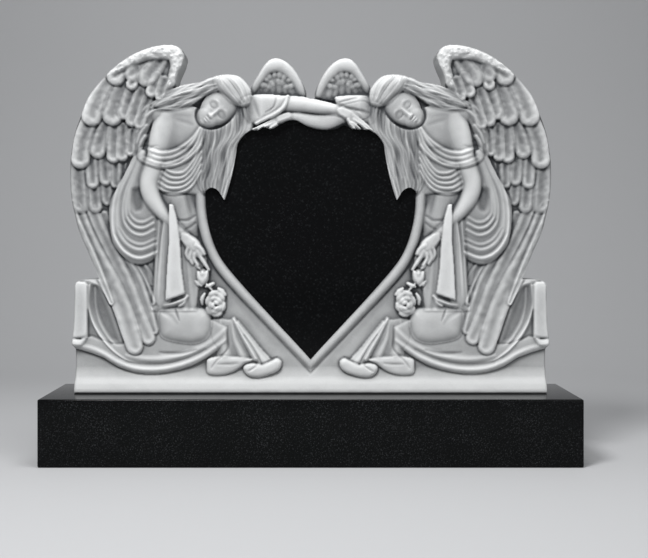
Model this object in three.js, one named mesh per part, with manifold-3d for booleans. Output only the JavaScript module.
// Headstone: two kneeling angels carved in relief around a heart of black granite, on a granite base.
// Millimetres, +Z up, the carved front faces -Y, the origin is under the middle of the base.
import * as THREE from 'three';
import { mergeVertices } from 'three/addons/utils/BufferGeometryUtils.js';
import Module from 'manifold-3d';

const wasm = await Module();
wasm.setup();

// Driving dimensions
const BASE_WIDTH = 1200;
const BASE_DEPTH = 250;
const BASE_HEIGHT = 150;
const BASE_ARRIS = 4;
const STELE_THICKNESS = 80;
const GAP = 0.3;

// Heights of the carving, measured forward from the flat back of the stele
const BURIED = 20;
const ROOT = 42;
const POCKET_FLOOR = 30;
const GROUND = 45;
const PANEL_FACE = 58;
const PRIMARY_TOP = 56;
const ROW_STEP = 4;
const CLOTH_BED = 58;
const MANTLE_BED = 56;
const MANTLE_ROOT = 54;
const BODICE_ROOT = 62;
const SASH_ROOT = 66;
const PLEAT_TOP = 79;
const TRIM_DEPTH = 90;

const STELE_FOOT = BASE_HEIGHT + GAP;
const STELE_BACK = STELE_THICKNESS / 2;
const LEFT = -1;
const RIGHT = 1;

// Outline of the stele, from the foot to the middle: across from the centre line, then up from the foot
const BLOCK_SIDE = [[539, 0], [540, 104], [544, 111], [544, 124], [541, 150], [538, 240]];
const BLOCK_SHOULDER = [[538, 246], [533, 255], [523, 259], [500, 261], [485, 261]];
const WING_EDGE = [
  [485, 261], [496, 288], [514, 329], [530, 364], [541, 405], [549, 444], [553.5, 500], [550, 556],
  [538, 612], [508, 679], [463, 732], [416, 768], [366, 789], [327, 796], [300, 791], [289, 776],
  [292, 757], [306, 722], [309, 703],
];
const HAIR_EDGE = [
  [309, 703], [281, 707], [250, 712], [230, 721], [190, 729], [163, 724], [144, 706], [139, 699],
];
const LOBE_EDGE = [
  [139, 699], [120, 729], [103, 755], [85, 768], [65, 765], [42, 747], [22, 718], [10, 690], [9, 677],
];
const VALLEY = [[9, 677], [0, 673]];

// Outline of the black heart, from its point up to the crossing arms
const HEART_FLANK = [
  [0, 75], [28, 106], [82, 164], [138, 225], [184, 278], [207, 309], [221, 338], [234, 380], [240, 421],
  [242, 462],
];
const LOCK_EDGE = [[242, 462], [228, 470], [214, 465], [203, 450], [197.5, 441]];
const HAIR_FALL_EDGE = [
  [197.5, 441], [190, 464], [178, 510], [171.5, 545], [167, 571], [153, 591], [136, 603],
];
// The arms cross here, so this stretch runs on past the middle and isn't mirrored
const ARMS_EDGE = [
  [136, 603], [122, 602], [108, 609], [92, 605], [76, 612], [50, 625], [34, 625], [10, 613], [-8, 606],
  [-35, 602.5], [-60, 606], [-76, 613], [-98, 605], [-116, 604], [-136, 603],
];

function openCurve(points) {
  const places = points.map(([x, y]) => new THREE.Vector3(x, y, 0));
  return new THREE.CatmullRomCurve3(places, false, 'centripetal');
}

// A smooth curve through hand-set points, cut into steps of about the given length
function through(points, step) {
  const curve = openCurve(points);
  const count = Math.max(2, Math.round(curve.getLength() / step));
  return curve.getSpacedPoints(count).map((point) => [point.x, point.y]);
}

function mirrored(points) {
  return points.map(([u, z]) => [-u, z]).reverse();
}

function withoutRepeats(points) {
  return points.filter(([u, z], index) => {
    const [beforeU, beforeZ] = points[(index + points.length - 1) % points.length];
    return Math.hypot(u - beforeU, z - beforeZ) > 0.05;
  });
}

// Closed outlines are lists of [across, up], where across grows towards the left of the front view
function steleOutline() {
  const half = [
    ...through(BLOCK_SIDE, 60),
    ...through(BLOCK_SHOULDER, 16),
    ...through(WING_EDGE, 35),
    ...through(HAIR_EDGE, 24),
    ...through(LOBE_EDGE, 20),
    ...VALLEY,
  ];
  return withoutRepeats([...half, ...mirrored(half)]);
}

function heartOutline() {
  const side = [...through(HEART_FLANK, 42), ...through(LOCK_EDGE, 15), ...through(HAIR_FALL_EDGE, 28)];
  return withoutRepeats([...side, ...through(ARMS_EDGE, 22), ...mirrored(side)]);
}

function inset(outline, distance) {
  const turn = Math.sign(THREE.ShapeUtils.area(outline.map(([x, y]) => new THREE.Vector2(x, y))));
  return outline.map(([u, z], index) => {
    const before = outline[(index + outline.length - 1) % outline.length];
    const after = outline[(index + 1) % outline.length];
    const edges = [[before, [u, z]], [[u, z], after]].map(([a, b]) => {
      const length = Math.hypot(b[0] - a[0], b[1] - a[1]);
      return [-(b[1] - a[1]) / length, (b[0] - a[0]) / length];
    });
    const bisector = [edges[0][0] + edges[1][0], edges[0][1] + edges[1][1]];
    const spread = 1 + edges[0][0] * edges[1][0] + edges[0][1] * edges[1][1];
    return [u + turn * distance * bisector[0] / spread, z + turn * distance * bisector[1] / spread];
  });
}

function toSolid(geometry) {
  geometry.deleteAttribute('normal');
  geometry.deleteAttribute('uv');
  const merged = mergeVertices(geometry, 1e-4);
  const mesh = new wasm.Mesh({
    numProp: 3,
    vertProperties: new Float32Array(merged.attributes.position.array),
    triVerts: new Uint32Array(merged.index.array),
  });
  return new wasm.Manifold(mesh);
}

function toGeometry(solid) {
  const mesh = solid.getMesh();
  const geometry = new THREE.BufferGeometry();
  geometry.setAttribute('position', new THREE.BufferAttribute(new Float32Array(mesh.vertProperties), 3));
  geometry.setIndex(new THREE.BufferAttribute(new Uint32Array(mesh.triVerts), 1));
  geometry.computeVertexNormals();
  return geometry;
}

// Carving space to the part's frame: side -1 is the angel on the left of the front view
function place(side, u, z, height) {
  return new THREE.Vector3(side * u, STELE_BACK - height, STELE_FOOT + z);
}

// Joins rings of carving-space points into one closed skin
function skin(side, rings) {
  const size = rings[0].length;
  const positions = rings.flat().flatMap(([u, z, height]) => place(side, u, z, height).toArray());
  const faces = [];
  for (let ring = 0; ring < rings.length - 1; ring += 1) {
    for (let k = 0; k < size; k += 1) {
      const a = ring * size + k;
      const b = ring * size + (k + 1) % size;
      faces.push([a, b, b + size], [a, b + size, a + size]);
    }
  }
  const cap = THREE.ShapeUtils.triangulateShape(ringPlane(rings[0]), []);
  const endCap = THREE.ShapeUtils.triangulateShape(ringPlane(rings.at(-1)), []);
  const last = (rings.length - 1) * size;
  cap.forEach(([a, b, c]) => faces.push([c, b, a]));
  endCap.forEach(([a, b, c]) => faces.push([last + a, last + b, last + c]));
  const geometry = new THREE.BufferGeometry();
  geometry.setAttribute('position', new THREE.Float32BufferAttribute(positions, 3));
  const outward = signedVolume(positions, faces) > 0;
  geometry.setIndex(faces.flatMap(([a, b, c]) => (outward ? [a, b, c] : [a, c, b])));
  return toSolid(geometry);
}

// The flat view of a ring, seen along its own normal and counter-clockwise
function ringPlane(ring) {
  const points = ring.map((point) => new THREE.Vector3(...point));
  const normal = new THREE.Vector3();
  points.forEach((point, index) => {
    normal.add(new THREE.Vector3().crossVectors(point, points[(index + 1) % points.length]));
  });
  normal.normalize();
  const along = new THREE.Vector3().subVectors(points[1], points[0]).normalize();
  const across = new THREE.Vector3().crossVectors(normal, along);
  return points.map((point) => new THREE.Vector2(point.dot(along), point.dot(across)));
}

function signedVolume(positions, faces) {
  const corner = (index) => new THREE.Vector3().fromArray(positions, index * 3);
  return faces.reduce((sum, [a, b, c]) => sum + corner(a).dot(corner(b).cross(corner(c))), 0);
}

// Cross-sections of a carved ridge: place across the width, and share of the fall below the crest
const ROUND = [[-0.72, 0.5], [0, 0], [0.72, 0.5]];
const FURROWED = [[-0.8, 0.1], [0, 0.9], [0.8, 0.1]];
const KEEL = [[0, 0]];

// A sharp fold has a keel section and ends cut square
const SHARP = { section: KEEL, blunt: 'none' };

// A ridge follows a path of [across, up, half width, height]; its sides go down into the stone,
// and an end named in blunt is rounded off
function ridge(side, path, { fall = 12, section = ROUND, step = 34, blunt = 'both', root = ROOT } = {}) {
  const spine = openCurve(path);
  const gauge = openCurve(path.map(([, , half, height]) => [half, height]));
  const count = Math.max(1, Math.round(spine.getLength() / step));
  const rings = [];
  const addRing = (point, tangent, half, top) => {
    const corner = (across, height) => [
      point.x - tangent.y * across * half, point.y + tangent.x * across * half, height,
    ];
    const crest = section.map(([across, share]) => corner(across, top - share * fall));
    rings.push([corner(-1, root), ...crest, corner(1, root)]);
  };
  for (let index = 0; index <= count; index += 1) {
    const t = spine.getUtoTmapping(index / count);
    const point = spine.getPoint(t);
    const tangent = spine.getTangent(t);
    const size = gauge.getPoint(t);
    const end = index === 0 ? -1 : 1;
    addRing(point, tangent, size.x, size.y);
    const rounded = (index === 0 && blunt === 'both') || (index === count && blunt !== 'none');
    if (rounded) {
      const reach = point.clone().addScaledVector(tangent, end * size.x * 0.6);
      addRing(reach, tangent, size.x * 0.55, size.y - fall * 0.5);
    }
    if (rounded && index === 0) {
      rings.reverse();
    }
  }
  return skin(side, rings);
}

// A mound rises over a closed outline in rings that shrink towards its middle
function mound(side, outline, height, { fall = 14, rings = [[0.84, 0.5], [0.45, 0]] } = {}) {
  const middle = [0, 1].map((axis) => outline.reduce((sum, point) => sum + point[axis], 0) / outline.length);
  const ringAt = (share, level) => outline.map(([u, z]) => [
    middle[0] + (u - middle[0]) * share, middle[1] + (z - middle[1]) * share, level,
  ]);
  return skin(side, [ringAt(1, ROOT), ...rings.map(([share, drop]) => ringAt(share, height - drop * fall))]);
}

function ellipse(centreU, centreZ, halfLong, halfShort, tilt, count = 10) {
  return Array.from({ length: count }, (_, index) => {
    const angle = (index / count) * 2 * Math.PI;
    const [a, b] = [halfLong * Math.cos(angle), halfShort * Math.sin(angle)];
    const [cos, sin] = [Math.cos(tilt), Math.sin(tilt)];
    return [centreU + a * cos - b * sin, centreZ + a * sin + b * cos];
  });
}

// A flat-topped plate with straight sides over a closed outline
function plate(side, outline, height, depth = BURIED) {
  return skin(side, [outline.map(([u, z]) => [u, z, depth]), outline.map(([u, z]) => [u, z, height])]);
}

function join(solids) {
  return solids.reduce((whole, solid) => whole.add(solid));
}

function feather(side, row, path) {
  const top = PRIMARY_TOP + row * ROW_STEP;
  const bed = path.map(([u, z, half], index) => [u, z, half, top - 4 + (4 * index) / (path.length - 1)]);
  const shape = path[0][2] < 13 ? SHARP : { section: FURROWED, blunt: 'tip' };
  return ridge(side, bed, { ...shape, fall: 6, step: 85 });
}

// The great wing: long primaries below, four rows of coverts over them, and a downy leading edge
function wing(side) {
  const primaries = [
    [
      [520, 415, 14], [500, 362, 15], [478, 312, 17], [447, 254, 19], [423, 197, 21], [406, 136, 21],
      [401, 106, 19],
    ],
    [[475, 400, 13], [448, 342, 14], [422, 295, 16], [397, 233, 17], [382, 178, 17], [370, 126, 15]],
    [[430, 330, 9], [398, 289, 12], [376, 250, 13], [362, 212, 11]],
  ];
  const coverts = [
    [0.7, [[530, 520, 13], [529, 470, 14], [523, 424, 14]]],
    [0.7, [[499, 480, 12], [497, 450, 13], [494, 424, 13]]],
    [0.7, [[472, 500, 8], [470, 460, 9], [468, 433, 9]]],
    [1.2, [[503, 555, 12], [502, 510, 13], [500, 477, 13]]],
    [1.7, [[508, 628, 14], [519, 580, 17], [526, 530, 17]]],
    [1.7, [[470, 618, 12], [481, 580, 14], [488, 550, 14]]],
    [1.7, [[455, 605, 11], [453, 565, 13], [452, 538, 13]]],
    [1.6, [[430, 605, 10], [433, 570, 11], [434, 540, 11]]],
    [2.7, [[466, 718, 15], [486, 672, 19], [501, 630, 19]]],
    [2.7, [[432, 702, 16], [446, 660, 20], [454, 630, 20]]],
    [2.6, [[404, 702, 11], [415, 665, 13], [427, 637, 13]]],
    [2.5, [[388, 690, 11], [400, 650, 13], [411, 620, 13]]],
    [3.6, [[418, 760, 14], [435, 735, 17], [443, 718, 17]]],
    [3.6, [[372, 768, 13], [393, 742, 15], [408, 724, 15]]],
    [3.6, [[340, 755, 14], [362, 730, 17], [374, 714, 17]]],
  ];
  const leadingEdge = [
    [512, 655, 9, 68], [470, 710, 13, 72], [428, 748, 15, 73], [385, 773, 16, 74], [345, 781, 17, 75],
    [312, 776, 18, 76], [306, 752, 15, 76], [320, 720, 14, 74], [330, 690, 14, 70],
  ];
  const rim = [
    [488, 290, 10, 62], [526, 372, 11, 63], [543, 450, 12, 65], [545, 540, 12, 67], [528, 615, 12, 68],
  ];
  return [
    ...primaries.map((path) => feather(side, 0, path)),
    ...coverts.map(([row, path]) => feather(side, row, path)),
    ridge(side, rim, { ...SHARP, step: 90 }),
    ridge(side, leadingEdge, { fall: 12, step: 64 }),
  ];
}

// The smaller wing that rises behind the head
function innerWing(side) {
  const rim = [
    [132, 694, 8, 60], [117, 722, 9, 61], [103, 745, 10, 62], [84, 756, 11, 62], [63, 751, 10, 62],
    [42, 731, 9, 62], [25, 704, 8, 61], [18, 684, 7, 60],
  ];
  const quills = [[108, 700, 98, 730], [82, 700, 78, 742], [56, 700, 60, 730]];
  return [
    ridge(side, rim, { ...SHARP, step: 40 }),
    ...quills.map(([lowU, lowZ, highU, highZ]) => ridge(
      side, [[lowU, lowZ, 10, 56], [highU, highZ, 8, 54]], { ...SHARP, step: 60 },
    )),
  ];
}

const HEAD_TILT = THREE.MathUtils.degToRad(-38);

function headAndHair(side) {
  const cap = ellipse(180, 690, 40, 36, HEAD_TILT);
  const face = ellipse(214, 652, 50, 35, HEAD_TILT);
  const sweeps = [
    [
      [150, 708, 13, 74], [185, 719, 14, 76], [232, 710, 14, 74], [285, 696, 13, 70], [325, 672, 11, 66],
      [352, 660, 8, 62],
    ],
    [
      [172, 690, 13, 78], [205, 703, 13, 78], [240, 694, 12, 75], [285, 675, 12, 72], [325, 658, 9, 68],
      [356, 654, 6, 64],
    ],
  ];
  const falls = [
    [
      [142, 684, 10, 76], [140, 650, 11, 74], [146, 616, 12, 72], [165, 580, 12, 70], [180, 530, 10, 69],
      [190, 480, 8, 67], [198, 452, 5, 64],
    ],
    [[166, 640, 10, 74], [180, 600, 12, 72], [194, 550, 11, 70], [203, 500, 10, 68], [208, 468, 8, 64]],
    [[205, 615, 10, 72], [216, 570, 11, 71], [224, 520, 10, 69], [234, 480, 9, 66]],
    [[236, 606, 9, 71], [243, 560, 10, 70], [248, 515, 10, 68], [258, 480, 8, 65], [260, 448, 7, 64]],
  ];
  const nose = [[196, 664, 5, 81], [214, 648, 6, 84], [224, 642, 6, 82]];
  return [
    mound(side, face, 80, { fall: 16 }),
    mound(side, cap, 79, { fall: 12 }),
    ridge(side, nose, { ...SHARP, step: 30 }),
    ...sweeps.map((path) => ridge(side, path, { fall: 12, step: 56 })),
    ...falls.map((path) => ridge(side, path, { ...SHARP, step: 75 })),
  ];
}

// Shoulder, upper arm, elbow, forearm and the hand that holds the roses
function nearArm(side) {
  const arm = [
    [330, 618, 27, 76], [341, 590, 26, 78], [350, 555, 24, 79], [362, 510, 24, 79], [371, 478, 23, 79],
    [363, 448, 22, 79], [345, 420, 18, 78], [322, 393, 15, 76], [300, 370, 14, 74], [282, 350, 15, 73],
  ];
  const hand = [[284, 352, 14, 74], [268, 336, 17, 75], [255, 318, 14, 74]];
  const fingers = [
    [[252, 318, 5, 74], [243, 300, 5, 73], [234, 284, 4, 70]],
    [[262, 316, 5, 75], [268, 302, 5, 74], [262, 291, 5, 71]],
    [[271, 320, 5, 74], [276, 305, 5, 73], [271, 293, 5, 70]],
  ];
  return [
    ridge(side, arm, { fall: 18, step: 46 }),
    ridge(side, hand, { fall: 12, step: 40 }),
    ...fingers.map((path) => ridge(side, path, { ...SHARP, step: 20 })),
  ];
}

// Cloth of the dress: sash, bodice folds, waist, and the skirt under the scarf
function dress(side) {
  const sash = [
    [[394, 557, 11, 76], [350, 545, 12, 80], [315, 546, 12, 80], [280, 560, 12, 77], [252, 592, 10, 72]],
    [[392, 535, 11, 75], [350, 523, 12, 79], [312, 525, 12, 79], [284, 540, 12, 76], [258, 569, 10, 71]],
  ];
  const sashBand = [
    [394, 547, 19, 73], [350, 535, 21, 76], [312, 537, 20, 76], [282, 551, 19, 73], [256, 582, 14, 69],
  ];
  const bodice = [0, 1.4, 2.8].map((fold) => [
    [336 + 4 * fold, 508 - 13 * fold, 9, 69], [312 + 3 * fold, 500 - 13 * fold, 10, 73],
    [287, 510 - 14 * fold, 10, 73], [260, 544 - 17 * fold, 9, 68],
  ]);
  const bodiceBed = [[350, 520], [300, 530], [256, 575], [258, 455], [352, 455]];
  const chest = ellipse(286, 604, 50, 52, 0);
  const waist = [[306, 470, 44, 66], [300, 428, 34, 69], [292, 380, 38, 66]];
  const skirt = [[352, 395], [361, 187], [262, 187], [257, 245], [270, 330], [296, 375]];
  return [
    ridge(side, waist, { fall: 9, step: 60, blunt: 'none' }),
    plate(side, skirt, CLOTH_BED),
    plate(side, bodiceBed, 64),
    mound(side, chest, 68, { fall: 8 }),
    ridge(side, sashBand, { fall: 9, step: 48, blunt: 'none' }),
    ...sash.map((path) => ridge(side, path, { ...SHARP, step: 48, root: SASH_ROOT })),
    ...bodice.map((path) => ridge(side, path, { ...SHARP, step: 48, root: BODICE_ROOT })),
  ];
}

// The mantle hangs from the shoulder and loops below the elbow in nested folds
function mantle(side) {
  const bed = [
    [392, 560], [428, 510], [455, 450], [463, 405], [460, 360], [440, 320], [410, 297], [377, 297],
    [347, 313], [345, 400],
  ];
  const loops = [0, 1.3, 2.6, 3.9].map((fold) => [
    [416 - 5 * fold, 545, 7, 61 + fold],
    [446 - 8 * fold, 462, 9, 63 + fold],
    [455 - 10 * fold, 400, 9, 64 + fold],
    [448 - 10 * fold, 352 + 13 * fold, 10, 64 + 1.4 * fold],
    [422 - 7 * fold, 318 + 17 * fold, 11, 64 + 1.6 * fold],
    [388 - 1 * fold, 309 + 19 * fold, 11, 64 + 1.6 * fold],
    [350 + 3 * fold, 329 + 19 * fold, 9, 62 + fold],
  ]);
  const shoulderFold = [[392, 600, 12, 64], [384, 640, 14, 62], [352, 648, 10, 62]];
  return [
    plate(side, bed, MANTLE_BED),
    ...loops.map((path) => ridge(side, path, { ...SHARP, step: 58, root: MANTLE_ROOT })),
    ridge(side, shoulderFold, SHARP),
  ];
}

// The scarf falls from the forearm in one wide flat pleat with narrower folds beside it
function scarf(side) {
  const pleat = [
    [321, 430], [310, 428], [303, 400], [297, 350], [293, 283], [285, 225], [328, 211], [325, 283],
    [320, 350], [320, 400],
  ];
  const folds = [
    [[333, 420, 9, 72], [340, 330, 14, 70], [346, 215, 20, 68]],
    [[288, 350, 8, 66], [280, 280, 11, 67], [271, 210, 14, 66]],
  ];
  const rolledEnd = [[324, 201, 8, 70], [286, 214, 7, 72]];
  return [
    plate(side, pleat, PLEAT_TOP),
    ...folds.map((path) => ridge(side, path, { ...SHARP, step: 90 })),
    ridge(side, rolledEnd, { fall: 8, step: 40 }),
  ];
}

function roses(side) {
  const stem = [[236, 250, 6, 68], [222, 228, 6, 68]];
  const leaf = [[264, 256, 5, 68], [250, 244, 10, 69], [238, 236, 4, 66]];
  return [
    mound(side, ellipse(246, 266, 15, 22, 0, 7), 74, { fall: 10 }),
    mound(side, ellipse(217, 205, 28, 34, 0.2, 8), 72, { fall: 12 }),
    mound(side, ellipse(216, 198, 14, 16, 0, 6), 77, { fall: 8 }),
    ridge(side, stem, SHARP),
    ridge(side, leaf, { ...SHARP, step: 20 }),
  ];
}

// The bent leg on the ground, and the hem of the robe spread around it
function kneelingRobe(side) {
  const leg = through(
    [[346, 186], [348, 150], [338, 124], [301, 114], [262, 113], [238, 124], [227, 150], [228, 186]], 40,
  );
  const spread = [
    [543, 150], [543, 103], [503, 91], [474, 80], [442, 59], [401, 47], [350, 44], [300, 53], [252, 71],
    [221, 91], [195, 112], [196, 150], [232, 150], [345, 116], [420, 96], [458, 190], [490, 190],
  ];
  const hem = [
    [541, 113, 7, 70], [503, 102, 8, 70], [474, 91, 9, 70], [440, 70, 10, 71], [401, 58, 10, 71],
    [350, 55, 10, 71], [300, 64, 10, 71], [252, 83, 10, 71], [214, 108, 8, 70], [196, 128, 6, 66],
  ];
  const sweep = [
    [506, 222, 6, 66], [503, 180, 7, 70], [488, 142, 8, 72], [462, 108, 8, 72], [430, 84, 7, 70],
    [396, 74, 5, 66],
  ];
  const crease = [[372, 88, 6, 68], [310, 90, 9, 70], [256, 106, 8, 70], [222, 130, 6, 66]];
  return [
    mound(side, leg, 76, { fall: 18 }),
    plate(side, spread, 60),
    ridge(side, hem, { ...SHARP, step: 66 }),
    ridge(side, sweep, { ...SHARP, step: 45 }),
    ridge(side, crease, { ...SHARP, step: 60 }),
  ];
}

// Two folds of the robe run down to the right of the knee and end in rolled hems
function trailingFolds(side) {
  return [
    ridge(side, [[190, 168, 8, 64], [186, 120, 16, 66], [190, 70, 26, 70]], { fall: 10, step: 40 }),
    mound(side, ellipse(190, 58, 46, 17, 0.22, 8), 66, { fall: 8 }),
    ridge(side, [[170, 165, 6, 64], [146, 120, 13, 68], [112, 70, 20, 72]], { fall: 8, step: 40 }),
    mound(side, ellipse(110, 54, 46, 18, -0.12, 9), 72, { fall: 10 }),
  ];
}

// The block that the mantle is thrown over, at the outer end
function block(side) {
  const strip = [[545, 256], [513, 250], [511, 134], [545, 139]];
  return [
    plate(side, [[545, 262], [486, 262], [460, 210], [436, 147], [436, 92], [545, 100]], 60),
    plate(side, strip, 76),
    ridge(side, [[552, 122, 9, 75], [532, 118, 9, 76], [518, 124, 6, 74]], { fall: 8, step: 30 }),
  ];
}

function sleeve(side) {
  return ridge(side, [[158, 652, 22, 70], [120, 652, 26, 73], [76, 664, 20, 73]], { fall: 10, step: 40 });
}

// The arms that cross over the heart: the left angel's lies on top
function crossingArms() {
  const lower = [
    [130, 650, 22, 66], [80, 646, 21, 69], [30, 640, 18, 70], [-20, 632, 16, 70], [-70, 630, 12, 69],
    [-126, 608, 5, 66],
  ];
  const upper = [
    [120, 655, 24, 74], [60, 660, 20, 78], [0, 657, 18, 79], [-40, 652, 15, 79], [-78, 641, 13, 78],
    [-104, 622, 11, 76], [-134, 602, 5, 72],
  ];
  const cuff = [[52, 676, 6, 78], [60, 655, 6, 80], [80, 638, 6, 78], [118, 618, 5, 73]];
  return [
    ridge(RIGHT, lower, { fall: 14, step: 50 }),
    ridge(LEFT, upper, { fall: 15, step: 56 }),
    ridge(LEFT, cuff, { ...SHARP, step: 24 }),
    sleeve(LEFT),
    sleeve(RIGHT),
  ];
}

// A half-round moulding frames the lower two thirds of the heart
function heartMoulding(side) {
  const path = [
    [254, 452, 12, 68], [251, 412, 12, 68], [245, 378, 12, 68], [232, 334, 12, 68], [207, 290, 12, 68],
    [160, 234, 12, 68], [105, 176, 12, 68], [50, 118, 12, 68], [-6, 58, 12, 68],
  ];
  return ridge(side, path, { fall: 9, step: 70, blunt: 'none' });
}

// A plain kerb along the foot, hollowed back to the carving above it
function kerb() {
  const half = BLOCK_SIDE[0][0];
  const profile = [
    [0, BURIED], [0, STELE_THICKNESS], [14, STELE_THICKNESS], [26, 70], [44, 62], [60, BURIED],
  ];
  const ringAt = (u) => profile.map(([z, height]) => [u, z, height]);
  return skin(LEFT, [ringAt(-half), ringAt(half)]);
}

function stele() {
  const outline = steleOutline();
  const bed = plate(LEFT, outline, GROUND, 0);
  const forms = [LEFT, RIGHT].flatMap((side) => [
    ...wing(side), ...innerWing(side), ...block(side), ...kneelingRobe(side), ...trailingFolds(side),
    ...mantle(side), ...dress(side), ...scarf(side), ...nearArm(side), ...roses(side), ...headAndHair(side),
    heartMoulding(side),
  ]);
  const carved = join([bed, kerb(), ...forms, ...crossingArms()]);
  const pocket = plate(LEFT, heartOutline(), TRIM_DEPTH, POCKET_FLOOR);
  return carved.intersect(plate(LEFT, outline, TRIM_DEPTH, 0)).subtract(pocket);
}

function heartPanel() {
  return plate(LEFT, inset(heartOutline(), GAP), PANEL_FACE, POCKET_FLOOR + GAP);
}

function base() {
  const [w, d, a] = [BASE_WIDTH / 2, BASE_DEPTH / 2, BASE_ARRIS];
  const shape = new THREE.Shape();
  shape.moveTo(-w + a, -d + a);
  shape.lineTo(w - a, -d + a);
  shape.lineTo(w - a, d - a);
  shape.lineTo(-w + a, d - a);
  shape.closePath();
  const geometry = new THREE.ExtrudeGeometry(shape, {
    depth: BASE_HEIGHT - 2 * a, bevelEnabled: true, bevelThickness: a, bevelSize: a, bevelSegments: 1,
  });
  geometry.translate(0, 0, a);
  return geometry;
}

const paleStone = new THREE.MeshStandardMaterial({ color: 0xc9cac8, roughness: 0.6, metalness: 0 });
const blackGranite = new THREE.MeshStandardMaterial({ color: 0x0c0e10, roughness: 0.12, metalness: 0 });

const headstone = new THREE.Group();
const pieces = [
  ['base', base(), blackGranite],
  ['stele', toGeometry(stele()), paleStone],
  ['heart_panel', toGeometry(heartPanel()), blackGranite],
];
for (const [name, geometry, material] of pieces) {
  const mesh = new THREE.Mesh(geometry, material);
  mesh.name = name;
  headstone.add(mesh);
}

export default headstone;
